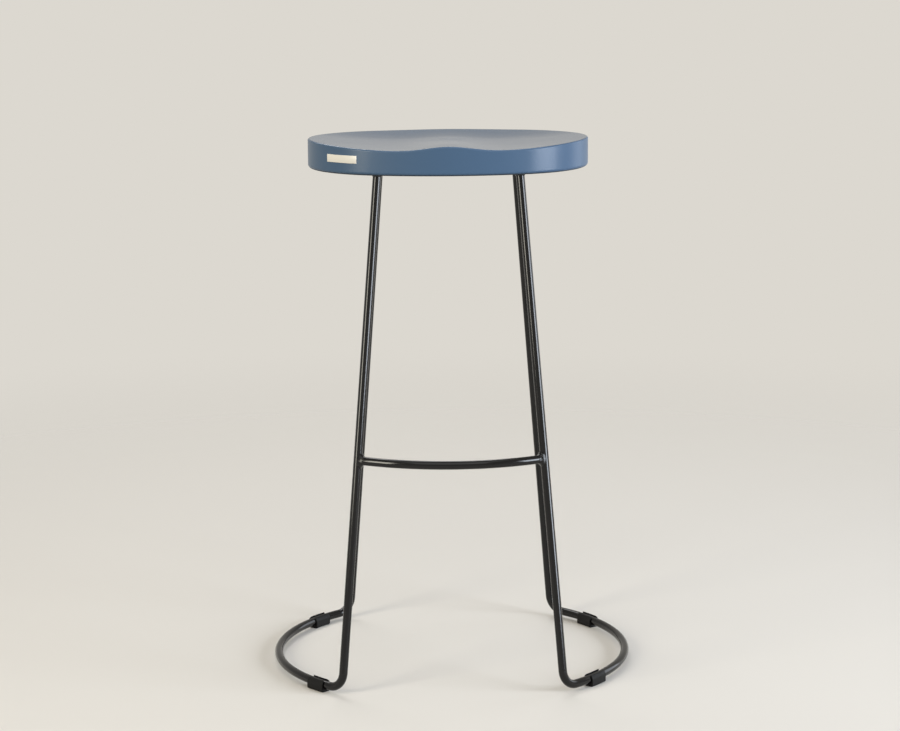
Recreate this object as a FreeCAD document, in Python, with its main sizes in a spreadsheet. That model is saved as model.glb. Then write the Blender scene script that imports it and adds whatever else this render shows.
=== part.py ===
import FreeCAD, Part
import math
import os
import Sketcher

# A bar stool: a saddle seat of painted wood, screwed to a welded frame of bent steel rod.
# The origin is on the floor under the middle of the stool, +Z is up and the front is -Y.

# Driving sizes, in millimetres unless the note gives another unit.
SIZES = (
    ("seat_height", "762", "floor to the rim of the seat"),
    ("seat_width", "398", "seat, end to end"),
    ("seat_depth", "284", "seat, front to back"),
    ("seat_thickness", "41", "seat at its rim"),
    ("seat_front_radius", "355", "radius of the seat's long front and back edges in plan"),
    ("seat_bottom_round", "5", "rounding of the seat's lower edge"),
    ("seat_top_round", "2.5", "rounding of the seat's upper edge"),
    ("saddle_stock", "6", "wood above the rim that the carving takes off"),
    ("saddle_depth", "9.5", "deepest carving below the rim, without the ridge"),
    ("saddle_back", "25", "deepest point, behind the middle of the seat"),
    ("saddle_rear_reach", "137", "deepest point to where the rear slope runs out"),
    ("saddle_front_reach", "355", "deepest point to where the front slope would run out"),
    ("saddle_fullness", "2.5", "exponent: higher makes the hollow flatter with steeper sides"),
    ("saddle_ease", "1.5", "exponent: higher lets the hollow meet the rim more gently"),
    ("pommel_half_width", "47", "ridge between the thighs, half its width"),
    ("pommel_length", "185", "ridge, length over which it fades towards the back"),
    ("rod_diameter", "12", "steel rod of the side frames"),
    ("bend_radius", "22", "corner bend of a side rod, at the rod's centre"),
    ("base_radius", "250", "arc of a side rod along the floor, at the rod's centre"),
    ("leg_top_half_width", "99", "leg at its top, from the middle, left and right"),
    ("leg_top_half_depth", "100", "leg at its top, from the middle, front and back"),
    ("foot_half_width", "155", "leg's line at the base, from the middle, left and right"),
    ("foot_half_depth", "200.5", "leg's line at the base, from the middle, front and back"),
    ("footrest_height", "327.5", "floor to the centre of the footrest rod"),
    ("footrest_diameter", "12", "steel rod of the footrest"),
    ("footrest_bow", "38", "how far the footrest bows forward of the front legs"),
    ("footrest_cope", "3.5", "how deep the footrest's end is hollowed to sit on the leg"),
    ("footrest_weld_half_height", "11", "footrest weld, up and down the leg from the footrest's centre"),
    ("footrest_weld_run", "6", "footrest weld, from the leg out along the footrest"),
    ("footrest_weld_proud", "0.9", "footrest weld, above the rods where they are level with each other"),
    ("footrest_weld_root", "1.5", "footrest weld, how deep its hidden ends lie in the rods"),
    ("bar_width", "20", "flat bar under the seat"),
    ("bar_thickness", "3", "flat bar under the seat"),
    ("bar_overhang", "13", "flat bar, past the centre of each leg"),
    ("bar_corner_round", "3", "flat bar, rounding of its corners"),
    ("bar_recess_clearance", "0.5", "recess in the seat round a flat bar"),
    ("level_cut_margin", "40", "room round the legs' tops for the level cut, and its height"),
    ("leg_weld_height", "4", "leg weld, down the leg"),
    ("leg_weld_width", "3", "leg weld, out along the bar"),
    ("leg_weld_edge", "0.4", "leg weld, thickness of its lower edge"),
    ("screw_spacing", "62", "seat screws along a bar, centre to centre"),
    ("screw_diameter", "4", "seat screw, shank"),
    ("screw_length", "20", "seat screw, under its head"),
    ("screw_point", "4", "seat screw, length of its point"),
    ("screw_head_diameter", "8", "seat screw, pan head"),
    ("screw_head_height", "2.8", "seat screw, pan head"),
    ("screw_crown_diameter", "5.6", "seat screw, flat on top of its head"),
    ("screw_crown_height", "0.9", "seat screw, slope between the side and the flat of its head"),
    ("screw_slot_width", "1.3", "seat screw, cross recess"),
    ("screw_slot_length", "4.4", "seat screw, cross recess"),
    ("screw_slot_depth", "1.6", "seat screw, cross recess"),
    ("screw_hole_clearance", "0.3", "hole in the bar round the shank, on the radius"),
    ("screw_pilot_clearance", "0.05", "hole in the seat round the shank, on the radius"),
    ("screw_pilot_extra", "2", "hole in the seat past the point of the screw"),
    ("glide_base", "4", "plastic under the rod"),
    ("glide_wall", "2", "plastic beside the rod"),
    ("glide_mouth", "8", "gap between the clip's arms, over the rod"),
    ("glide_length", "32", "clip along the rod"),
    ("glide_clearance", "0.1", "channel of the clip round the rod, on the radius"),
    ("glide_round", "2.5", "rounding of the clip's long lower edges"),
    ("glide_end_round", "0.8", "rounding of the edges at the clip's ends"),
    ("glide_front_left_from_bend", "25", "clip's middle, along the arc from the end of the bend"),
    ("glide_front_right_from_bend", "43", "clip's middle, along the arc from the end of the bend"),
    ("glide_rear_left_from_bend", "43", "clip's middle, along the arc from the end of the bend"),
    ("glide_rear_right_from_bend", "56", "clip's middle, along the arc from the end of the bend"),
)

# Steps of the carved surface's grid across the seat and front to back.
SADDLE_STEPS_ACROSS = 24
SADDLE_STEPS_DEEP = 18
# Lengths and directions that differ by less than this are taken to be the same.
NEAR = 1e-4
# Rounds of working out a bend and the arc after it, each of which needs the other.
BEND_ROUNDS = 12
# Places along a footrest weld's slope where its section is drawn, from the leg to where it runs out.
WELD_STEPS = 8

UP = FreeCAD.Vector(0, 0, 1)
SIDES = (("left", -1), ("right", 1))
ENDS = (("front", -1), ("rear", 1))

doc = FreeCAD.newDocument("bar_stool")
sheet = doc.addObject("Spreadsheet::Sheet", "dims")
for row, (alias, number, note) in enumerate(SIZES, start=1):
    sheet.set(f"A{row}", note)
    sheet.set(f"B{row}", number)
    sheet.setAlias(f"B{row}", alias)
doc.recompute()

pieces = []


def size(alias):
    return float(sheet.get(alias))


def value(expression):
    return float(sheet.evalExpression(expression))


def finished(piece, label):
    """Give a finished sub-part its name and put it on the list of those that are written."""
    piece.Label = label
    pieces.append(piece)
    return piece


def bind(item, **expressions):
    """Tie properties of an object to the sheet."""
    for name, expression in expressions.items():
        item.setExpression(name, expression)
    return item


def origin_plane(body, role):
    return next(feature for feature in body.Origin.OriginFeatures if feature.Role == role)


def new_sketch(body, name, role):
    sketch = body.newObject("Sketcher::SketchObject", name)
    sketch.AttachmentSupport = [(origin_plane(body, role), "")]
    sketch.MapMode = "FlatFace"
    return sketch


def drive(sketch, constraint, name, expression):
    """Add a dimension to a sketch and tie it to the sheet."""
    index = sketch.addConstraint(constraint)
    sketch.renameConstraint(index, name)
    sketch.setExpression("Constraints." + name, expression)


def place_point(sketch, geometry, point, name, across, along):
    """Dimension one point of a sketch from the sketch's origin."""
    for kind, suffix, expression in (("DistanceX", "x", across), ("DistanceY", "y", along)):
        constraint = Sketcher.Constraint(kind, geometry, point, value(expression))
        drive(sketch, constraint, f"{name}_{suffix}", expression)


def draw_polygon(sketch, corners, name="corner"):
    """Closed outline of straight lines, each corner given by two expressions."""
    points = [FreeCAD.Vector(value(across), value(along), 0) for across, along in corners]
    following = points[1:] + points[:1]
    lines = [sketch.addGeometry(Part.LineSegment(start, end)) for start, end in zip(points, following)]
    for line, after in zip(lines, lines[1:] + lines[:1]):
        sketch.addConstraint(Sketcher.Constraint("Coincident", line, 2, after, 1))
    for number, (line, (across, along)) in enumerate(zip(lines, corners)):
        place_point(sketch, line, 1, f"{name}{number}", across, along)


def draw_circle(sketch, name, across, along, radius):
    centre = FreeCAD.Vector(value(across), value(along), 0)
    circle = sketch.addGeometry(Part.Circle(centre, UP, value(radius)))
    drive(sketch, Sketcher.Constraint("Radius", circle, value(radius)), name + "_radius", radius)
    place_point(sketch, circle, 3, name, across, along)


def add_feature(body, kind, name, profile, **expressions):
    feature = body.newObject("PartDesign::" + kind, name)
    feature.Profile = profile
    return bind(feature, **expressions)


def add_cut(name, base, *tools):
    """Take the tools away from the base, one after the other."""
    for number, tool in enumerate(tools, start=1):
        cut = doc.addObject("Part::Cut", f"{name}_cut{number}")
        cut.Base = base
        cut.Tool = tool
        base = cut
    return base


def edge_names(shape, chosen):
    return [f"Edge{number}" for number, edge in enumerate(shape.Edges, start=1) if chosen(edge)]


def upright_edges(shape, length):
    """Straight upright edges of one length, such as the corners of a plate or of a recess."""
    def chosen(edge):
        if edge.Curve.TypeId != "Part::GeomLine":
            return False
        upright = abs(edge.tangentAt(edge.FirstParameter).z) > 1 - NEAR
        return upright and abs(edge.Length - length) < NEAR
    return edge_names(shape, chosen)


# Heights and places that several pieces share. The bars lie flush in the seat's underside, and the
# legs end against them there.
SEAT_UNDERSIDE = "(dims.seat_height - dims.seat_thickness)"
ROD_RADIUS = "(dims.rod_diameter / 2)"
BASE_HEIGHT = "(dims.glide_base + dims.rod_diameter / 2)"
SCREW_PLACES = (("left", "-dims.screw_spacing"), ("middle", "0"), ("right", "dims.screw_spacing"))

seat_underside = value(SEAT_UNDERSIDE)
rod_radius = value(ROD_RADIUS)
base_height = value(BASE_HEIGHT)


def bar_corners(middle, margin):
    """Corners of a flat bar's outline, or of its recess with a margin all round."""
    half_length = f"(dims.leg_top_half_width + dims.bar_overhang + {margin})"
    half_width = f"(dims.bar_width / 2 + {margin})"
    return (
        (f"-{half_length}", f"{middle} - {half_width}"),
        (half_length, f"{middle} - {half_width}"),
        (half_length, f"{middle} + {half_width}"),
        (f"-{half_length}", f"{middle} + {half_width}"),
    )


def leg_ends(side, end):
    """Top of a leg at the seat's underside, and the point where its line meets the base."""
    across, along = side * size("leg_top_half_width"), end * size("leg_top_half_depth")
    top = FreeCAD.Vector(across, along, seat_underside)
    foot = FreeCAD.Vector(side * size("foot_half_width"), end * size("foot_half_depth"), base_height)
    return top, foot


def leg_centre(side, end, height):
    top, foot = leg_ends(side, end)
    return top + (foot - top) * ((top.z - height) / (top.z - foot.z))


# Seat: an oval slab sawn from a thicker board. Its lower edge is rounded over, and its underside is
# routed out for the bars and drilled for the screws.
def oval_outline(sketch):
    """Four arcs that run into each other: the two ends, and the long front and back edges."""
    half_width, half_depth = "(dims.seat_width / 2)", "(dims.seat_depth / 2)"
    long_radius = "dims.seat_front_radius"
    end_radius = (f"((2 * {long_radius} * {half_depth} - {half_width} ^ 2 - {half_depth} ^ 2)"
                  f" / (2 * ({long_radius} - {half_width})))")
    end_centre = value(f"{half_width} - {end_radius}")
    long_centre = value(f"{long_radius} - {half_depth}")
    turn = math.atan2(long_centre, end_centre)
    arcs = (
        (end_centre, 0, end_radius, -turn, turn),
        (0, -long_centre, long_radius, turn, math.pi - turn),
        (-end_centre, 0, end_radius, math.pi - turn, math.pi + turn),
        (0, long_centre, long_radius, math.pi + turn, 2 * math.pi - turn),
    )
    for across, along, radius, start, stop in arcs:
        circle = Part.Circle(FreeCAD.Vector(across, along, 0), UP, value(radius))
        sketch.addGeometry(Part.ArcOfCircle(circle, start, stop))
    right, back, left, front = range(4)
    x_axis, y_axis = -1, -2
    start_point, end_point, centre_point = 1, 2, 3
    for arc in range(4):
        sketch.addConstraint(Sketcher.Constraint("Tangent", arc, end_point, (arc + 1) % 4, start_point))
    sketch.addConstraint(Sketcher.Constraint("PointOnObject", right, centre_point, x_axis))
    sketch.addConstraint(Sketcher.Constraint("PointOnObject", left, centre_point, x_axis))
    sketch.addConstraint(Sketcher.Constraint("PointOnObject", front, centre_point, y_axis))
    sketch.addConstraint(Sketcher.Constraint("Equal", right, left))
    sketch.addConstraint(Sketcher.Constraint("Equal", back, front))
    drive(sketch, Sketcher.Constraint("Radius", front, value(long_radius)), "long_radius", long_radius)
    drive(sketch, Sketcher.Constraint("Radius", right, value(end_radius)), "end_radius", end_radius)
    drive(sketch, Sketcher.Constraint("DistanceX", right, centre_point, end_centre),
          "end_centre", f"{half_width} - {end_radius}")


def seat_blank():
    body = doc.addObject("PartDesign::Body", "seat_blank")
    outline = new_sketch(body, "seat_outline", "XY_Plane")
    oval_outline(outline)
    slab = add_feature(body, "Pad", "seat_slab", outline, Length="dims.seat_thickness + dims.saddle_stock")
    doc.recompute()
    lower = edge_names(slab.Shape, lambda edge: edge.BoundBox.ZMax < size("seat_bottom_round") / 2)
    rounding = body.newObject("PartDesign::Fillet", "seat_lower_edge")
    rounding.Base = (slab, lower)
    bind(rounding, Radius="dims.seat_bottom_round")
    recesses = new_sketch(body, "bar_recesses", "XY_Plane")
    for end_name, end in ENDS:
        corners = bar_corners(f"{end} * dims.leg_top_half_depth", "dims.bar_recess_clearance")
        draw_polygon(recesses, corners, end_name)
    routed = add_feature(body, "Pocket", "routed_recesses", recesses, Length="dims.bar_thickness")
    routed.Reversed = True
    doc.recompute()
    recess_corners = body.newObject("PartDesign::Fillet", "recess_corners")
    recess_corners.Base = (routed, upright_edges(routed.Shape, size("bar_thickness")))
    bind(recess_corners, Radius="dims.bar_corner_round + dims.bar_recess_clearance")
    pilots = new_sketch(body, "screw_pilots", "XY_Plane")
    radius = "dims.screw_diameter / 2 + dims.screw_pilot_clearance"
    for end_name, end in ENDS:
        for place, across in SCREW_PLACES:
            draw_circle(pilots, f"{end_name}_{place}", across, f"{end} * dims.leg_top_half_depth", radius)
    depth = "dims.screw_length + dims.screw_pilot_extra"
    holes = add_feature(body, "Pocket", "screw_pilot_holes", pilots, Length=depth)
    holes.Reversed = True
    bind(body, **{"Placement.Base.z": SEAT_UNDERSIDE})
    return body


# Saddle: the carved top. A wide hollow, open to the front, rises to the back and the ends, and a
# ridge between the thighs starts level with the rim at the front edge and fades out behind.
def saddle_height(across, along):
    half_width = size("seat_width") / 2
    behind = along - size("saddle_back")
    reach = size("saddle_rear_reach") if behind > 0 else size("saddle_front_reach")
    fullness = size("saddle_fullness")
    spread = abs(across / half_width) ** fullness + abs(behind / reach) ** fullness
    hollow = size("saddle_depth") * max(0.0, 1 - spread) ** size("saddle_ease")
    from_front = along + size("seat_depth") / 2
    ridge = math.exp(-(across / size("pommel_half_width")) ** 2 - (from_front / size("pommel_length")) ** 2)
    return size("seat_thickness") - hollow * (1 - ridge)


def saddle_tool():
    """Everything above the carved surface, out past the seat's edge and the top of the slab."""
    half_width = size("seat_width") / 2 + size("saddle_stock")
    half_depth = size("seat_depth") / 2 + size("saddle_stock")
    grid = []
    for i in range(SADDLE_STEPS_ACROSS + 1):
        across = half_width * (2 * i / SADDLE_STEPS_ACROSS - 1)
        line = []
        for j in range(SADDLE_STEPS_DEEP + 1):
            along = half_depth * (2 * j / SADDLE_STEPS_DEEP - 1)
            line.append(FreeCAD.Vector(across, along, saddle_height(across, along)))
        grid.append(line)
    surface = Part.BSplineSurface()
    surface.interpolate(grid)
    tool = doc.addObject("Part::Feature", "saddle_tool")
    tool.Shape = surface.toShape().extrude(UP * (size("saddle_depth") + 2 * size("saddle_stock")))
    tool.Placement.Base = UP * seat_underside
    return tool


def make_seat():
    carved = add_cut("seat", seat_blank(), saddle_tool())
    doc.recompute()
    top = max(carved.Shape.Faces, key=lambda face: face.CenterOfMass.z)
    rim = [number for number, edge in enumerate(carved.Shape.Edges, start=1)
           if any(edge.isSame(other) for other in top.Edges)]
    seat = doc.addObject("Part::Fillet", "seat_rounded")
    seat.Base = carved
    seat.Edges = [(number, size("seat_top_round"), size("seat_top_round")) for number in rim]
    finished(seat, "seat")


# Flat bars: each joins the tops of a left and a right leg, and lies in the seat, which is screwed to it.
def make_bar(end_name, end):
    body = doc.addObject("PartDesign::Body", end_name + "_bar")
    outline = new_sketch(body, end_name + "_bar_outline", "XY_Plane")
    draw_polygon(outline, bar_corners("0", "0"))
    strip = add_feature(body, "Pad", end_name + "_bar_strip", outline, Length="dims.bar_thickness")
    doc.recompute()
    corners = upright_edges(strip.Shape, size("bar_thickness"))
    rounding = body.newObject("PartDesign::Fillet", end_name + "_bar_corners")
    rounding.Base = (strip, corners)
    bind(rounding, Radius="dims.bar_corner_round")
    holes = new_sketch(body, end_name + "_bar_hole_centres", "XY_Plane")
    for place, across in SCREW_PLACES:
        draw_circle(holes, place, across, "0", "dims.screw_diameter / 2 + dims.screw_hole_clearance")
    drilled = add_feature(body, "Pocket", end_name + "_bar_holes", holes)
    drilled.Type = "ThroughAll"
    drilled.Reversed = True
    bind(body, **{
        "Placement.Base.y": f"{end} * dims.leg_top_half_depth",
        "Placement.Base.z": SEAT_UNDERSIDE,
    })
    finished(body, end_name + "_top_bar")


# Seat screws: pan head wood screws, driven up through the bars.
def make_screw(end_name, end, place, across):
    name = f"seat_screw_{end_name}_{place}"
    body = doc.addObject("PartDesign::Body", name)
    profile = new_sketch(body, name + "_profile", "XZ_Plane")
    shank, head = "(dims.screw_diameter / 2)", "(dims.screw_head_diameter / 2)"
    side = "(dims.screw_head_height - dims.screw_crown_height)"
    draw_polygon(profile, (
        ("0", "-dims.screw_head_height"),
        ("dims.screw_crown_diameter / 2", "-dims.screw_head_height"),
        (head, "-" + side),
        (head, "0"),
        (shank, "0"),
        (shank, "dims.screw_length - dims.screw_point"),
        ("0", "dims.screw_length"),
    ))
    turned = add_feature(body, "Revolution", name + "_turned", profile)
    turned.ReferenceAxis = (profile, ["V_Axis"])
    turned.Angle = 360
    slot = new_sketch(body, name + "_slot", "XY_Plane")
    bind(slot, **{"AttachmentOffset.Base.z": "-dims.screw_head_height"})
    long_half, short_half = "(dims.screw_slot_length / 2)", "(dims.screw_slot_width / 2)"
    arm = ((short_half, long_half), (short_half, short_half), (long_half, short_half))
    quarter_turns = ((1, 1), (1, -1), (-1, -1), (-1, 1))
    corners = []
    for turn, (flip_x, flip_y) in enumerate(quarter_turns):
        for across_half, along_half in (arm if turn % 2 == 0 else arm[::-1]):
            corners.append((f"{flip_x} * {across_half}", f"{flip_y} * {along_half}"))
    draw_polygon(slot, corners)
    recess = add_feature(body, "Pocket", name + "_recess", slot, Length="dims.screw_slot_depth")
    recess.Reversed = True
    bind(body, **{
        "Placement.Base.x": across,
        "Placement.Base.y": f"{end} * dims.leg_top_half_depth",
        "Placement.Base.z": SEAT_UNDERSIDE,
    })
    finished(body, name)


# Side rods: front leg, corner bend, arc along the floor, corner bend and rear leg, in one rod.
# The legs' tops are cut level, so that they stand flat against the bars.
def base_arc(front_foot, leg_direction):
    """Direction of the arc where the front bend ends, and the bend's length along each of its legs."""
    radius = size("base_radius")
    setback = size("bend_radius")
    for _ in range(BEND_ROUNDS):
        angle = math.asin(-front_foot.y / math.hypot(radius, setback)) - math.atan2(setback, radius)
        arc_direction = FreeCAD.Vector(math.sin(angle), math.cos(angle), 0)
        setback = size("bend_radius") * math.tan(leg_direction.getAngle(arc_direction) / 2)
    return angle, arc_direction, setback


def arc_end_angle():
    """How far round the arc the front bend ends, from the arc's outermost point."""
    top, foot = leg_ends(1, -1)
    return base_arc(foot, foot - top)[0]


def arc_centre_offset():
    """How far the right arc's centre lies to the right of the stool's middle."""
    top, foot = leg_ends(1, -1)
    angle, arc_direction, setback = base_arc(foot, foot - top)
    return foot.x + setback * arc_direction.x - size("base_radius") * math.cos(angle)


def bend_middle(corner, arriving, leaving, setback):
    """Middle point of the bend that rounds a corner between two directions."""
    inward = (leaving - arriving).normalize()
    half_turn = arriving.getAngle(leaving) / 2
    radius = setback / math.tan(half_turn)
    return corner + inward * (radius / math.cos(half_turn) - radius)


def right_rod_path():
    front_top, front_foot = leg_ends(1, -1)
    down = (front_foot - front_top).normalize()
    angle, arc_direction, setback = base_arc(front_foot, down)
    # The leg's centre line runs on past the bar's underside, to be cut level there.
    start = front_top - down * size("rod_diameter")
    bend_start = front_foot - down * setback
    bend_end = front_foot + arc_direction * setback
    middle = bend_middle(front_foot, down, arc_direction, setback)

    def rear(point):
        return FreeCAD.Vector(point.x, -point.y, point.z)

    outermost = FreeCAD.Vector(arc_centre_offset() + size("base_radius"), 0, base_height)
    edges = (
        Part.LineSegment(start, bend_start),
        Part.Arc(bend_start, middle, bend_end),
        Part.Arc(bend_end, outermost, rear(bend_end)),
        Part.Arc(rear(bend_end), rear(middle), rear(bend_start)),
        Part.LineSegment(rear(bend_start), rear(start)),
    )
    path = doc.addObject("Part::Feature", "right_rod_path")
    path.Shape = Part.Wire([edge.toShape() for edge in edges])
    return path, start, down


def level_cutter():
    """A block that stands on the plane of the bars' undersides and cuts what meets them level."""
    block = doc.addObject("Part::Box", "level_cutter")
    half_width, half_depth = "dims.leg_top_half_width", "dims.leg_top_half_depth"
    margin = "dims.level_cut_margin"
    bind(block, Length=f"2 * {half_width} + 2 * {margin}", Width=f"2 * {half_depth} + 2 * {margin}",
         Height=margin)
    bind(block, **{
        "Placement.Base.x": f"-{half_width} - {margin}",
        "Placement.Base.y": f"-{half_depth} - {margin}",
        "Placement.Base.z": SEAT_UNDERSIDE,
    })
    return block


def make_side_rods(cutter):
    path, start, down = right_rod_path()
    section = doc.addObject("Part::Circle", "rod_section")
    bind(section, Radius=ROD_RADIUS)
    section.Placement = FreeCAD.Placement(start, FreeCAD.Rotation(UP, down))
    bent = doc.addObject("Part::Sweep", "right_rod_bent")
    bent.Sections = [section]
    bent.Spine = (path, [f"Edge{number}" for number in range(1, len(path.Shape.Edges) + 1)])
    bent.Solid = True
    right = add_cut("right_side_rod", bent, cutter)
    left = doc.addObject("Part::Mirroring", "left_rod_mirror")
    left.Source = right
    left.Normal = FreeCAD.Vector(1, 0, 0)
    doc.recompute()
    whole = bent.Shape.Volume
    expected = math.pi * rod_radius ** 2 * path.Shape.Length
    print(f"rod before cutting: {whole:.1f} mm3, section times length {expected:.1f} mm3")
    finished(left, "left_side_rod")
    finished(right, "right_side_rod")
    return {"left": left, "right": right}


# Leg welds: a bead round the top of each leg, under the bar.
def make_leg_weld(side_name, side, end_name, end, rod, cutter):
    top, foot = leg_ends(side, end)
    up_leg = (top - foot).normalize()
    name = f"leg_top_weld_{end_name}_{side_name}"
    bead = doc.addObject("Part::Cone", name + "_bead")
    # The bead's cone runs on past the bar's underside at the same slope, so that the level cut is whole.
    slope = "(dims.leg_weld_width - dims.leg_weld_edge) / dims.leg_weld_height"
    bind(bead, Height="2 * dims.leg_weld_height", Radius1=f"{ROD_RADIUS} + dims.leg_weld_edge",
         Radius2=f"{ROD_RADIUS} + dims.leg_weld_edge + 2 * dims.leg_weld_height * {slope}")
    bead.Placement = FreeCAD.Placement(top - up_leg * size("leg_weld_height"), FreeCAD.Rotation(UP, up_leg))
    finished(add_cut(name, bead, cutter, rod), name)


# Footrest: a bowed rod, hollowed at its ends to sit against the front legs, and welded there.
def footrest_arc():
    """Radius of the footrest's bow, its centre, and the turn from its middle to a leg's centre line."""
    leg = leg_centre(1, -1, size("footrest_height"))
    bow = size("footrest_bow")
    radius = (leg.x ** 2 + bow ** 2) / (2 * bow)
    centre = FreeCAD.Vector(0, leg.y - bow + radius, size("footrest_height"))
    return radius, centre, math.asin(leg.x / radius)


def make_footrest(rods):
    radius, centre, leg_turn = footrest_arc()
    end_turn = leg_turn - (rod_radius - size("footrest_cope")) / radius
    body = doc.addObject("PartDesign::Body", "footrest_bar")
    section = new_sketch(body, "footrest_section", "YZ_Plane")
    draw_circle(section, "rod", f"-{radius}", "0", "dims.footrest_diameter / 2")
    bow = add_feature(body, "Revolution", "footrest_bow", section)
    bow.ReferenceAxis = (section, ["V_Axis"])
    bow.Angle = math.degrees(2 * end_turn)
    bow.Midplane = True
    body.Placement.Base = centre
    footrest = add_cut("footrest", body, rods["left"], rods["right"])
    finished(footrest, "footrest")
    for side_name, side in SIDES:
        make_footrest_weld(side_name, side, footrest, rods[side_name])


def weld_sections():
    """Along the footrest from the leg's centre line: how far out, half height and half width."""
    height, proud = size("footrest_weld_half_height"), size("footrest_weld_proud")
    run, root = size("footrest_weld_run"), size("footrest_weld_root")
    radius = size("footrest_diameter") / 2
    hidden = math.sqrt(rod_radius ** 2 / 2) - root
    sections = [(-rod_radius / 2, rod_radius, hidden), (rod_radius / 2, height, rod_radius + proud)]
    for step in range(WELD_STEPS + 1):
        along = step / WELD_STEPS
        slope = (1 - along) ** 2
        half_height, half_width = radius + (height - radius) * slope, radius + proud * slope
        sections.append((rod_radius + run * along, half_height, half_width))
    sections.append((rod_radius + run + 2 * root, radius - root / 2, radius - root))
    return sections


# Footrest welds: each fills the corner between the footrest and the leg above and below, with a hollow
# slope, and runs out level with the rods in front and behind.
def make_footrest_weld(side_name, side, footrest, rod):
    _, _, leg_turn = footrest_arc()
    leg = leg_centre(side, -1, size("footrest_height"))
    inward = FreeCAD.Vector(-side * math.cos(leg_turn), -math.sin(leg_turn), 0)
    top, foot = leg_ends(side, -1)
    up_leg = top - foot
    turned = FreeCAD.Rotation(up_leg, inward.cross(up_leg), inward, "ZXY")
    name = "footrest_weld_" + side_name
    ovals = []
    for out, half_height, half_width in weld_sections():
        oval = doc.addObject("Part::Ellipse", f"{name}_section{len(ovals)}")
        oval.MajorRadius = half_height
        oval.MinorRadius = half_width
        oval.Placement = FreeCAD.Placement(leg + inward * out, turned)
        ovals.append(oval)
    bead = doc.addObject("Part::Loft", name + "_bead")
    bead.Sections = ovals
    bead.Ruled = True
    bead.Solid = True
    finished(add_cut(name, bead, rod, footrest), name)


# Glides: plastic clips, bent to the arc, that snap round the rod from below and stand on the floor.
def make_glide(side_name, side, end_name, end):
    name = f"glide_{end_name}_{side_name}"
    body = doc.addObject("PartDesign::Body", name)
    # The rod lies on the bottom of the channel, which leaves the clearance at its sides.
    channel, centre = f"({ROD_RADIUS} + dims.glide_clearance)", f"({BASE_HEIGHT} + dims.glide_clearance)"
    outer, middle = f"({channel} + dims.glide_wall)", "dims.base_radius"
    profile = new_sketch(body, name + "_profile", "XZ_Plane")
    arched_outline(profile, middle, centre, outer, "dims.glide_round")
    block = add_feature(body, "Revolution", name + "_block", profile)
    block.ReferenceAxis = (profile, ["V_Axis"])
    bind(block, Angle="dims.glide_length / dims.base_radius * 180 / pi")
    block.Midplane = True
    bore = new_sketch(body, name + "_bore", "XZ_Plane")
    draw_circle(bore, "bore", middle, centre, channel)
    add_groove(body, name + "_channel", bore)
    mouth = new_sketch(body, name + "_opening", "XZ_Plane")
    half_mouth, top = "(dims.glide_mouth / 2)", f"({centre} + {outer} + dims.glide_wall)"
    draw_polygon(mouth, (
        (f"{middle} - {half_mouth}", centre),
        (f"{middle} + {half_mouth}", centre),
        (f"{middle} + {half_mouth}", top),
        (f"{middle} - {half_mouth}", top),
    ))
    clip = add_groove(body, name + "_mouth", mouth)
    doc.recompute()
    reach = value(f"{outer} - dims.glide_wall / 4")
    rod_line = FreeCAD.Vector(value(middle), value(centre), 0)
    rounding = body.newObject("PartDesign::Fillet", name + "_ends")
    rounding.Base = (clip, edge_names(clip.Shape, lambda edge: bounds_end(edge, rod_line, reach)))
    bind(rounding, Radius="dims.glide_end_round")
    turn = end * math.degrees(arc_end_angle() - size(f"{name}_from_bend") / size("base_radius"))
    if side < 0:
        turn = 180 - turn
    body.Placement = FreeCAD.Placement(FreeCAD.Vector(side * arc_centre_offset(), 0, 0),
                                       FreeCAD.Rotation(UP, turn))
    finished(body, name)


def bounds_end(edge, rod_line, reach):
    """Whether an edge runs round the outside of one of a clip's flat ends, away from the rod."""
    def section_place(share):
        point = edge.valueAt(edge.FirstParameter + (edge.LastParameter - edge.FirstParameter) * share)
        return math.atan2(point.y, point.x), FreeCAD.Vector(math.hypot(point.x, point.y), point.z, 0)

    (start_turn, _), (turn, place), (end_turn, _) = (section_place(share) for share in (0, 0.5, 1))
    level = abs(start_turn - turn) < NEAR and abs(end_turn - turn) < NEAR
    return level and place.distanceToPoint(rod_line) > reach


def add_groove(body, name, profile):
    groove = add_feature(body, "Groove", name, profile)
    groove.ReferenceAxis = (profile, ["V_Axis"])
    groove.Angle = 360
    return groove


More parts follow.
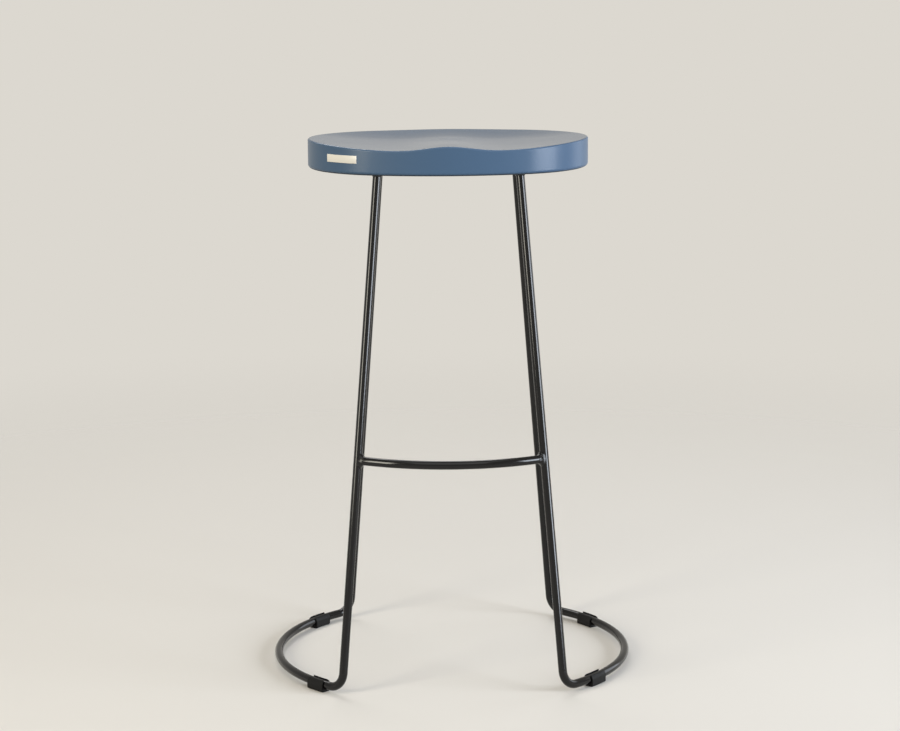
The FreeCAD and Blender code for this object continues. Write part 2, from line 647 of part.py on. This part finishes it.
def arched_outline(sketch, across, along, radius, corner_radius):
    """Outline that stands on the floor: a half circle, two upright walls and two rounded corners."""
    centre = FreeCAD.Vector(value(across), value(along), 0)
    reach, corner = value(radius), value(corner_radius)
    left, right = centre.x - reach, centre.x + reach

    def line(x1, y1, x2, y2):
        return sketch.addGeometry(Part.LineSegment(FreeCAD.Vector(x1, y1, 0), FreeCAD.Vector(x2, y2, 0)))

    def arc(middle, arc_radius, start, stop):
        return sketch.addGeometry(Part.ArcOfCircle(Part.Circle(middle, UP, arc_radius), start, stop))

    quarter = math.pi / 2
    arch = arc(centre, reach, 0, 2 * quarter)
    left_wall = line(left, centre.y, left, corner)
    left_corner = arc(FreeCAD.Vector(left + corner, corner, 0), corner, 2 * quarter, 3 * quarter)
    base = line(left + corner, 0, right - corner, 0)
    right_corner = arc(FreeCAD.Vector(right - corner, corner, 0), corner, 3 * quarter, 4 * quarter)
    right_wall = line(right, corner, right, centre.y)
    outline = (arch, left_wall, left_corner, base, right_corner, right_wall)
    for side, following in zip(outline, outline[1:] + outline[:1]):
        sketch.addConstraint(Sketcher.Constraint("Tangent", side, 2, following, 1))
    x_axis = -1
    sketch.addConstraint(Sketcher.Constraint("Vertical", left_wall))
    sketch.addConstraint(Sketcher.Constraint("Vertical", right_wall))
    sketch.addConstraint(Sketcher.Constraint("Horizontal", base))
    sketch.addConstraint(Sketcher.Constraint("PointOnObject", base, 1, x_axis))
    sketch.addConstraint(Sketcher.Constraint("Equal", left_corner, right_corner))
    drive(sketch, Sketcher.Constraint("Radius", left_corner, corner), "corner_radius", corner_radius)
    drive(sketch, Sketcher.Constraint("Radius", arch, reach), "radius", radius)
    place_point(sketch, arch, 3, "centre", across, along)


make_seat()
for end_name, end in ENDS:
    make_bar(end_name, end)
    for place, across in SCREW_PLACES:
        make_screw(end_name, end, place, across)
cutter = level_cutter()
rods = make_side_rods(cutter)
for end_name, end in ENDS:
    for side_name, side in SIDES:
        make_leg_weld(side_name, side, end_name, end, rods[side_name], cutter)
        make_glide(side_name, side, end_name, end)
make_footrest(rods)
doc.recompute()

# Nothing is written unless every object was built and every piece is one sound solid.
for item in doc.Objects:
    if "Invalid" in item.State or "Error" in item.State:
        raise RuntimeError(f"{item.Label} failed: {item.State}")
for piece in pieces:
    if piece.Shape.isNull() or not piece.Shape.isValid() or len(piece.Shape.Solids) != 1:
        raise RuntimeError(f"{piece.Label} is not one sound solid")

os.makedirs("parts", exist_ok=True)
for piece in pieces:
    piece.Shape.exportStep(os.path.join("parts", piece.Label + ".step"))
    print(f"{piece.Label}: {piece.Shape.Volume:.1f} mm3")
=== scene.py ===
import math

import bmesh
import bpy
from mathutils import Matrix, Vector


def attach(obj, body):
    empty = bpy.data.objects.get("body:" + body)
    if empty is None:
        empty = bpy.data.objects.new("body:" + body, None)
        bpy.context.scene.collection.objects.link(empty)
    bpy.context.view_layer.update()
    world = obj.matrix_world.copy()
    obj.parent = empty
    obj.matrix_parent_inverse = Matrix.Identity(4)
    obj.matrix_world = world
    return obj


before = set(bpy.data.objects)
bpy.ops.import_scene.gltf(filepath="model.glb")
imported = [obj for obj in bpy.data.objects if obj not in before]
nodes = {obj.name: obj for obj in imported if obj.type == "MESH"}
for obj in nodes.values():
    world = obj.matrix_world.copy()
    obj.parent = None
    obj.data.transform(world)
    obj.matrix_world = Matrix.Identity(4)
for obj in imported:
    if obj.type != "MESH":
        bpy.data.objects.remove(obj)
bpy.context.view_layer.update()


# Side rods: two lengths of 12 mm mild steel rod, each bent cold into a front leg, an arc along the
# floor and a rear leg. The welded frame is blasted, sprayed with black powder and baked.
SIDES = ("left", "right")
MM = 0.001


def linear(hex_colour):
    """Linear colour of an sRGB hex value, for a shader socket."""
    channels = [int(hex_colour[i:i + 2], 16) / 255 for i in (1, 3, 5)]
    return [c / 12.92 if c <= 0.04045 else ((c + 0.055) / 1.055) ** 2.4 for c in channels] + [1.0]


def add_node(tree, kind, inputs=None, **settings):
    """Add a shader node, set its properties, and fill or link its inputs."""
    made = tree.nodes.new(kind)
    for name, setting in settings.items():
        setattr(made, name, setting)
    for socket, given in (inputs or {}).items():
        if isinstance(given, bpy.types.NodeSocket):
            tree.links.new(given, made.inputs[socket])
        else:
            made.inputs[socket].default_value = given
    return made


def new_finish(name, colour, roughness, **sockets):
    """A material with its even values on the shader's own sockets."""
    material = bpy.data.materials.new(name)
    material.use_nodes = True
    shader = material.node_tree.nodes["Principled BSDF"]
    shader.inputs["Base Color"].default_value = linear(colour)
    shader.inputs["Roughness"].default_value = roughness
    for socket, given in sockets.items():
        shader.inputs[socket.replace("_", " ")].default_value = given
    return material, material.node_tree, shader


def dress(material, *names):
    """Give CAD nodes a finish."""
    for name in names:
        nodes[name].material_slots[0].material = material


# Black powder coat, melted and baked on steel: the powder flows out to a semi-gloss skin with a faint
# orange peel, so long highlights run down the rods with slightly soft, uneven edges.
PEEL_WIDTH = 1.8 * MM
PEEL_HEIGHT = 0.009 * MM
POWDER_PATCH = 35 * MM
GLOSSY_POWDER = 0.10
DULL_POWDER = 0.15


def powder_coat(name):
    """The frame's coat, with what is needed to add to its relief."""
    material, tree, shader = new_finish(name, "#070708", 0.12, Specular_IOR_Level=0.4)
    place = add_node(tree, "ShaderNodeTexCoord").outputs["Object"]
    patch = add_node(tree, "ShaderNodeTexNoise", {
        "Vector": place, "Scale": 1 / POWDER_PATCH, "Detail": 3.0})
    gloss = add_node(tree, "ShaderNodeMapRange", {
        "Value": patch.outputs["Fac"], "From Min": 0.3, "From Max": 0.7,
        "To Min": GLOSSY_POWDER, "To Max": DULL_POWDER})
    tree.links.new(gloss.outputs["Result"], shader.inputs["Roughness"])
    peel = add_node(tree, "ShaderNodeTexNoise", {"Vector": place, "Scale": 1 / PEEL_WIDTH, "Detail": 1.0})
    skin = add_node(tree, "ShaderNodeBump", {
        "Height": peel.outputs["Fac"], "Strength": 1.0, "Distance": PEEL_HEIGHT})
    tree.links.new(skin.outputs["Normal"], shader.inputs["Normal"])
    return material, tree, shader, place, skin


rod_coat, *_ = powder_coat("black_powder_coat_on_steel_rod")
dress(rod_coat, *(f"{side}_side_rod" for side in SIDES))


# Footrest: a shorter length of the same rod, bowed forward and welded between the front legs.
# The beads at its ends are arc welds, coated with the frame, so that only their ripples show.
dress(rod_coat, "footrest")

# Black powder coat over a weld bead: the metal froze in ripples that follow each other along the seam,
# and under the coat they break the highlight into a row of soft glints.
RIPPLE_SPACING = 1.6 * MM
RIPPLE_HEIGHT = 0.12 * MM
BAND_AT_SCALE_ONE = 2 * math.pi / 20
weld_coat, tree, shader, place, skin = powder_coat("black_powder_coat_on_weld")
ripple = add_node(tree, "ShaderNodeTexWave", {
    "Vector": place, "Scale": BAND_AT_SCALE_ONE / RIPPLE_SPACING, "Distortion": 3.0, "Detail": 1.0,
    "Detail Scale": 1.0}, bands_direction="Z")
bead = add_node(tree, "ShaderNodeBump", {
    "Height": ripple.outputs["Fac"], "Strength": 1.0, "Distance": RIPPLE_HEIGHT,
    "Normal": skin.outputs["Normal"]})
tree.links.new(bead.outputs["Normal"], shader.inputs["Normal"])
dress(weld_coat, *(f"footrest_weld_{side}" for side in SIDES))


# Top bars: two flat steel bars, sheared to length, drilled, and welded across the tops of the legs.
# They are coated with the frame and let flush into recesses in the seat's underside.
ENDS = ("front", "rear")
dress(rod_coat, *(f"{end}_top_bar" for end in ENDS))
dress(weld_coat, *(f"leg_top_weld_{end}_{side}" for end in ENDS for side in SIDES))


# Seat: an oval slab of solid wood with a saddle carved in its top, sanded, primed and sprayed with a
# satin blue paint. It sits on the top bars and is screwed to them from below.
SEAM_GAP = 0.001 * MM
SHARP_EDGE = math.radians(30)

# The carved and rounded faces flow into each other, so they are shaded as one skin, with sharp edges kept.
seams = nodes["seat"].modifiers.new("joined_seams", "WELD")
seams.merge_threshold = SEAM_GAP
edges = nodes["seat"].modifiers.new("sharp_edges", "EDGE_SPLIT")
edges.split_angle = SHARP_EDGE
shading = nodes["seat"].modifiers.new("even_shading", "WEIGHTED_NORMAL")
shading.mode = "FACE_AREA"
shading.keep_sharp = True

# Satin blue paint on wood: it hides the grain's colour, but a trace of the grain's relief stays. The top is
# rubbed smoother than the rim, so it mirrors its surround at low angles while the rim has soft highlights.
# Faces turned downwards are painted a dull dark slate, a painted shade that shows as a dark line along the
# lower edge, and they are left matte.
GRAIN_SPACING = 4.5 * MM
GRAIN_LENGTH = 160 * MM
GRAIN_HEIGHT = 0.03 * MM
SPRAY_WIDTH = 2.2 * MM
SPRAY_HEIGHT = 0.008 * MM
TONE_PATCH = 110 * MM
RIM_ROUGHNESS = 0.32
TOP_ROUGHNESS = 0.13
GRAIN_ROUGHNESS = 0.05
STEEP_FACE = 0.7
LEVEL_FACE = 0.98
# How matte the faces turned down are, and over which tilt of the face the painted shade on them fades in.
UNDERSIDE_ROUGHNESS = 0.75
FULLY_SHADED_FACE = -0.7
UNSHADED_FACE = -0.5
seat_paint, tree, shader = new_finish(
    "satin_blue_paint_on_wood", "#435c77", RIM_ROUGHNESS, Specular_IOR_Level=0.36)
place = add_node(tree, "ShaderNodeTexCoord").outputs["Object"]
tone = add_node(tree, "ShaderNodeTexNoise", {"Vector": place, "Scale": 1 / TONE_PATCH, "Detail": 4.0})
blue = add_node(tree, "ShaderNodeMix", {
    "Factor": tone.outputs["Fac"], "A": linear("#415a75"), "B": linear("#465f7a")}, data_type="RGBA")
facing = add_node(tree, "ShaderNodeSeparateXYZ", {
    "Vector": add_node(tree, "ShaderNodeNewGeometry").outputs["Normal"]})
# Mask of the faces turned downwards: it carries the painted shade on the underside, and the underside's
# matte roughness.
underside_shade_and_matte = add_node(tree, "ShaderNodeMapRange", {
    "Value": facing.outputs["Z"], "From Min": FULLY_SHADED_FACE, "From Max": UNSHADED_FACE,
    "To Min": 1.0, "To Max": 0.0})
# Painted shade: the blue is mixed towards dark slate on faces turned downwards.
blue_and_painted_underside_shade = add_node(tree, "ShaderNodeMix", {
    "Factor": underside_shade_and_matte.outputs["Result"], "A": blue.outputs["Result"], "B": linear("#333e4a")},
    data_type="RGBA")
tree.links.new(blue_and_painted_underside_shade.outputs["Result"], shader.inputs["Base Color"])
along_grain = add_node(tree, "ShaderNodeMapping", {
    "Vector": place, "Scale": (1 / GRAIN_LENGTH, 1 / GRAIN_SPACING, 1 / GRAIN_SPACING)})
grain = add_node(tree, "ShaderNodeTexNoise", {
    "Vector": along_grain.outputs["Vector"], "Scale": 1.0, "Detail": 3.0})
relief = add_node(tree, "ShaderNodeBump", {
    "Height": grain.outputs["Fac"], "Strength": 1.0, "Distance": GRAIN_HEIGHT})
spray = add_node(tree, "ShaderNodeTexNoise", {"Vector": place, "Scale": 1 / SPRAY_WIDTH, "Detail": 1.0})
skin = add_node(tree, "ShaderNodeBump", {
    "Height": spray.outputs["Fac"], "Strength": 1.0, "Distance": SPRAY_HEIGHT,
    "Normal": relief.outputs["Normal"]})
tree.links.new(skin.outputs["Normal"], shader.inputs["Normal"])
rubbed = add_node(tree, "ShaderNodeMapRange", {
    "Value": facing.outputs["Z"], "From Min": STEEP_FACE, "From Max": LEVEL_FACE,
    "To Min": RIM_ROUGHNESS, "To Max": TOP_ROUGHNESS})
sheen = add_node(tree, "ShaderNodeMath", {
    0: grain.outputs["Fac"], 1: GRAIN_ROUGHNESS, 2: rubbed.outputs["Result"]}, operation="MULTIPLY_ADD")
dulled = add_node(tree, "ShaderNodeMix", {
    "Factor": underside_shade_and_matte.outputs["Result"], "A": sheen.outputs["Value"], "B": UNDERSIDE_ROUGHNESS})
tree.links.new(dulled.outputs["Result"], shader.inputs["Roughness"])
dress(seat_paint, "seat")


# Seat screws: pan head wood screws with a cross recess, cold headed from wire and zinc plated.
# They hold the seat from below, through the top bars.
SCREW_PLACES = ("left", "middle", "right")

# Zinc plated steel: a pale grey metal shine, which the plating bath leaves duller in small patches.
PLATING_PATCH = 3 * MM
BRIGHT_ZINC = 0.28
DULL_ZINC = 0.42
screw_zinc, tree, shader = new_finish("zinc_plated_steel", "#b3b1aa", 0.34, Metallic=1.0)
place = add_node(tree, "ShaderNodeTexCoord").outputs["Object"]
plating = add_node(tree, "ShaderNodeTexNoise", {
    "Vector": place, "Scale": 1 / PLATING_PATCH, "Detail": 2.0})
dull = add_node(tree, "ShaderNodeMapRange", {
    "Value": plating.outputs["Fac"], "From Min": 0.3, "From Max": 0.7,
    "To Min": BRIGHT_ZINC, "To Max": DULL_ZINC})
tree.links.new(dull.outputs["Result"], shader.inputs["Roughness"])
dress(screw_zinc, *(f"seat_screw_{end}_{spot}" for end in ENDS for spot in SCREW_PLACES))


# Rim plate: a thin strip of ivory plastic sheet, bent to the seat's rim and glued on at the front left.
# It is left bare.
SEAT_WIDTH = 398 * MM
END_RADIUS = 131.59 * MM
END_CENTRE = END_RADIUS - SEAT_WIDTH / 2
PLATE_START = math.radians(180 + 40.1)
PLATE_END = math.radians(180 + 63.1)
PLATE_LOW = 737.3 * MM
PLATE_HIGH = 748 * MM
PLATE_THICKNESS = 0.7 * MM
PLATE_EDGE = 0.2 * MM
PLATE_STEPS = 28

outside = END_RADIUS + PLATE_THICKNESS
section = (
    (END_RADIUS, PLATE_LOW), (outside, PLATE_LOW), (outside, PLATE_HIGH), (END_RADIUS, PLATE_HIGH))
mesh = bmesh.new()
rings = []
for step in range(PLATE_STEPS + 1):
    angle = PLATE_START + (PLATE_END - PLATE_START) * step / PLATE_STEPS
    ring = []
    for radius, height in section:
        corner = (END_CENTRE + radius * math.cos(angle), radius * math.sin(angle), height)
        ring.append(mesh.verts.new(corner))
    rings.append(ring)
for ring, following in zip(rings, rings[1:]):
    for corner in range(len(section)):
        after = (corner + 1) % len(section)
        mesh.faces.new((ring[corner], ring[after], following[after], following[corner]))
mesh.faces.new(rings[0][::-1])
mesh.faces.new(rings[-1])
bmesh.ops.recalc_face_normals(mesh, faces=mesh.faces)
plate_mesh = bpy.data.meshes.new("rim_plate")
mesh.to_mesh(plate_mesh)
mesh.free()
plate = bpy.data.objects.new("rim_plate", plate_mesh)
bpy.context.scene.collection.objects.link(plate)
rolled_edge = plate.modifiers.new("rolled_edge", "BEVEL")
rolled_edge.width = PLATE_EDGE
rolled_edge.segments = 3
rolled_edge.limit_method = "ANGLE"
plate_mesh.shade_smooth()

# Ivory PVC sheet, drawn out between polished rollers: an even gloss with faint streaks along the strip.
# Real streaks are about 0.1 mm apart, which is too fine to show, so they are drawn coarser.
STREAK_SPACING = 0.5 * MM
STREAK_LENGTH = 20 * MM
STREAK_HEIGHT = 0.006 * MM
plate_plastic, tree, shader = new_finish("ivory_rolled_pvc_sheet", "#ebe6dc", 0.3)
place = add_node(tree, "ShaderNodeTexCoord").outputs["Object"]
along_plate = add_node(tree, "ShaderNodeMapping", {
    "Vector": place, "Scale": (1 / STREAK_LENGTH, 1 / STREAK_LENGTH, 1 / STREAK_SPACING)})
rolled = add_node(tree, "ShaderNodeTexNoise", {
    "Vector": along_plate.outputs["Vector"], "Scale": 1.0, "Detail": 2.0})
ivory = add_node(tree, "ShaderNodeMix", {
    "Factor": rolled.outputs["Fac"], "A": linear("#e7e2d7"), "B": linear("#eeeae1")}, data_type="RGBA")
tree.links.new(ivory.outputs["Result"], shader.inputs["Base Color"])
streaks = add_node(tree, "ShaderNodeBump", {
    "Height": rolled.outputs["Fac"], "Strength": 1.0, "Distance": STREAK_HEIGHT})
tree.links.new(streaks.outputs["Normal"], shader.inputs["Normal"])
plate_mesh.materials.append(plate_plastic)
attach(plate, "root")


# Glides: clips of black polypropylene, moulded with a fine matte grain and pushed up onto the base arcs.
# The stool stands on them.

# Matte black polypropylene: the mould's spark-eroded grain spreads the highlights, and light scuffs
# leave patches that are a little shinier. The real grain is about 0.1 mm wide, which is too fine to show,
# so it is drawn coarser.
SPARK_WIDTH = 0.6 * MM
SPARK_HEIGHT = 0.02 * MM
SCUFF_WIDTH = 6 * MM
SCUFFED_ROUGHNESS = 0.46
MOULDED_ROUGHNESS = 0.62
glide_plastic, tree, shader = new_finish(
    "matte_black_polypropylene", "#0a0a0a", 0.55, Specular_IOR_Level=0.22)
place = add_node(tree, "ShaderNodeTexCoord").outputs["Object"]
spark = add_node(tree, "ShaderNodeTexNoise", {"Vector": place, "Scale": 1 / SPARK_WIDTH, "Detail": 2.0})
grained = add_node(tree, "ShaderNodeBump", {
    "Height": spark.outputs["Fac"], "Strength": 1.0, "Distance": SPARK_HEIGHT})
tree.links.new(grained.outputs["Normal"], shader.inputs["Normal"])
scuff = add_node(tree, "ShaderNodeTexNoise", {"Vector": place, "Scale": 1 / SCUFF_WIDTH, "Detail": 4.0})
worn = add_node(tree, "ShaderNodeMapRange", {
    "Value": scuff.outputs["Fac"], "From Min": 0.35, "From Max": 0.7,
    "To Min": SCUFFED_ROUGHNESS, "To Max": MOULDED_ROUGHNESS})
tree.links.new(worn.outputs["Result"], shader.inputs["Roughness"])
dress(glide_plastic, *(f"glide_{end}_{side}" for end in ENDS for side in SIDES))


# Studio floor: a wide sheet of pale matte paper that the stool stands on. It fades into the surround far
# out, lets the camera look through it from below, and throws back little light, so undersides stay dark.
FLOOR_REACH = 8.0
FADE_START = 0.5
FADE_END = 2.6
corners = [(x * FLOOR_REACH, y * FLOOR_REACH, 0.0) for x, y in ((-1, -1), (1, -1), (1, 1), (-1, 1))]
floor_mesh = bpy.data.meshes.new("studio_floor")
floor_mesh.from_pydata(corners, [], [(0, 1, 2, 3)])
floor = bpy.data.objects.new("studio_floor", floor_mesh)
bpy.context.scene.collection.objects.link(floor)
floor_paper, tree, shader = new_finish("pale_matte_paper", "#dfdad2", 0.9)
ray = add_node(tree, "ShaderNodeLightPath")
bounce = add_node(tree, "ShaderNodeBsdfDiffuse", {"Color": linear("#62584c")})
lit = add_node(tree, "ShaderNodeMixShader", {
    0: ray.outputs["Is Diffuse Ray"], 1: shader.outputs["BSDF"], 2: bounce.outputs["BSDF"]})
place = add_node(tree, "ShaderNodeTexCoord").outputs["Object"]
away = add_node(tree, "ShaderNodeVectorMath", {0: place}, operation="LENGTH")
fade = add_node(tree, "ShaderNodeMapRange", {
    "Value": away.outputs["Value"], "From Min": FADE_START, "From Max": FADE_END},
    interpolation_type="SMOOTHSTEP")
seen_from = add_node(tree, "ShaderNodeNewGeometry")
clear = add_node(tree, "ShaderNodeMath", {
    0: seen_from.outputs["Backfacing"], 1: fade.outputs["Result"]}, operation="MAXIMUM")
see_through = add_node(tree, "ShaderNodeBsdfTransparent")
faded = add_node(tree, "ShaderNodeMixShader", {
    0: clear.outputs["Value"], 1: lit.outputs["Shader"], 2: see_through.outputs["BSDF"]})
tree.links.new(faded.outputs["Shader"], tree.nodes["Material Output"].inputs["Surface"])
floor_mesh.materials.append(floor_paper)


# Studio light: a pale surround, a little darker above the horizon, two large soft boxes in front to the
# left and right, a dim one on the right side, and smaller ones high up in front, overhead and behind.
FILL_STRENGTH = 0.19
HORIZON = 0.05
ABOVE_HORIZON = 0.18
LAMP_TARGET = Vector((0, 0, 0.5))
world = bpy.data.worlds.new("pale_studio")
bpy.context.scene.world = world
world.use_nodes = True
tree = world.node_tree
tree.nodes.clear()
ray = add_node(tree, "ShaderNodeLightPath")
mirrored = add_node(tree, "ShaderNodeMath", {
    0: ray.outputs["Is Glossy Ray"], 1: ray.outputs["Is Transmission Ray"]}, operation="MAXIMUM")
seen = add_node(tree, "ShaderNodeMath", {
    0: ray.outputs["Is Camera Ray"], 1: mirrored.outputs["Value"]}, operation="MAXIMUM")
fill = add_node(tree, "ShaderNodeBackground", {"Color": linear("#f4f2ee"), "Strength": FILL_STRENGTH})
direction = add_node(tree, "ShaderNodeSeparateXYZ", {
    "Vector": add_node(tree, "ShaderNodeTexCoord").outputs["Generated"]})
upward = add_node(tree, "ShaderNodeMapRange", {
    "Value": direction.outputs["Z"], "From Min": HORIZON, "From Max": ABOVE_HORIZON},
    interpolation_type="SMOOTHSTEP")
graded = add_node(tree, "ShaderNodeMix", {
    "Factor": upward.outputs["Result"], "A": linear("#dcd8d0"), "B": linear("#bfbbb4")}, data_type="RGBA")
pale = add_node(tree, "ShaderNodeBackground", {"Color": graded.outputs["Result"], "Strength": 1.0})
surround = add_node(tree, "ShaderNodeMixShader", {
    0: seen.outputs["Value"], 1: fill.outputs["Background"], 2: pale.outputs["Background"]})
add_node(tree, "ShaderNodeOutputWorld", {"Surface": surround.outputs["Shader"]})


def soft_box(name, azimuth, distance, height, width, tall, power, colour="#ffffff"):
    """A soft box that faces the stool; azimuth 0 is in front, and positive is to the right."""
    lamp = bpy.data.lights.new(name, "AREA")
    lamp.shape = "RECTANGLE"
    lamp.size = width
    lamp.size_y = tall
    lamp.energy = power
    lamp.color = linear(colour)[:3]
    box = bpy.data.objects.new(name, lamp)
    bpy.context.scene.collection.objects.link(box)
    turn = math.radians(azimuth)
    box.location = (distance * math.sin(turn), -distance * math.cos(turn), height)
    aim = LAMP_TARGET - box.location
    box.rotation_euler = aim.to_track_quat("-Z", "Y").to_euler()


soft_box("left_soft_box", azimuth=-49, distance=4.2, height=1.65, width=1.4, tall=2.4,
         power=122, colour="#fffaea")
soft_box("right_soft_box", azimuth=63, distance=4.2, height=1.25, width=2.2, tall=2.4,
         power=228, colour="#ecf4ff")
soft_box("side_soft_box", azimuth=118, distance=4.2, height=1.45, width=1.9, tall=2.8,
         power=36, colour="#ecf4ff")
soft_box("front_soft_box", azimuth=0, distance=1.9, height=2.6, width=2.2, tall=1.0, power=12)
soft_box("overhead_soft_box", azimuth=0, distance=0.3, height=3.0, width=2.2, tall=2.2, power=8)
soft_box("rear_soft_box", azimuth=195, distance=2.0, height=2.6, width=2.0, tall=1.2, power=32)


# Camera: a long lens well above the seat, nearly straight in front of the stool and tilted down to it.
# Its azimuth is where it stands round the stool, and its yaw is where it looks.
SENSOR_WIDTH = 36.0
FOCAL_LENGTH = 104.415
CAMERA_DISTANCE = 3.7051
CAMERA_HEIGHT = 1.1191
CAMERA_AZIMUTH = math.radians(-0.4446)
CAMERA_YAW = math.radians(-0.4534)
CAMERA_TILT = math.radians(10.5122)
CAMERA_ROLL = math.radians(-0.4511)
camera_data = bpy.data.cameras.new("camera")
camera_data.sensor_width = SENSOR_WIDTH
camera_data.lens = FOCAL_LENGTH
camera = bpy.data.objects.new("camera", camera_data)
bpy.context.scene.collection.objects.link(camera)
camera.location = (
    CAMERA_DISTANCE * math.sin(CAMERA_AZIMUTH), -CAMERA_DISTANCE * math.cos(CAMERA_AZIMUTH), CAMERA_HEIGHT)
level = Matrix.Rotation(CAMERA_YAW, 3, "Z") @ Matrix.Rotation(math.pi / 2 - CAMERA_TILT, 3, "X")
camera.rotation_euler = (level @ Matrix.Rotation(CAMERA_ROLL, 3, "Z")).to_euler()
bpy.context.scene.camera = camera
bpy.context.scene.view_settings.view_transform = "Standard"
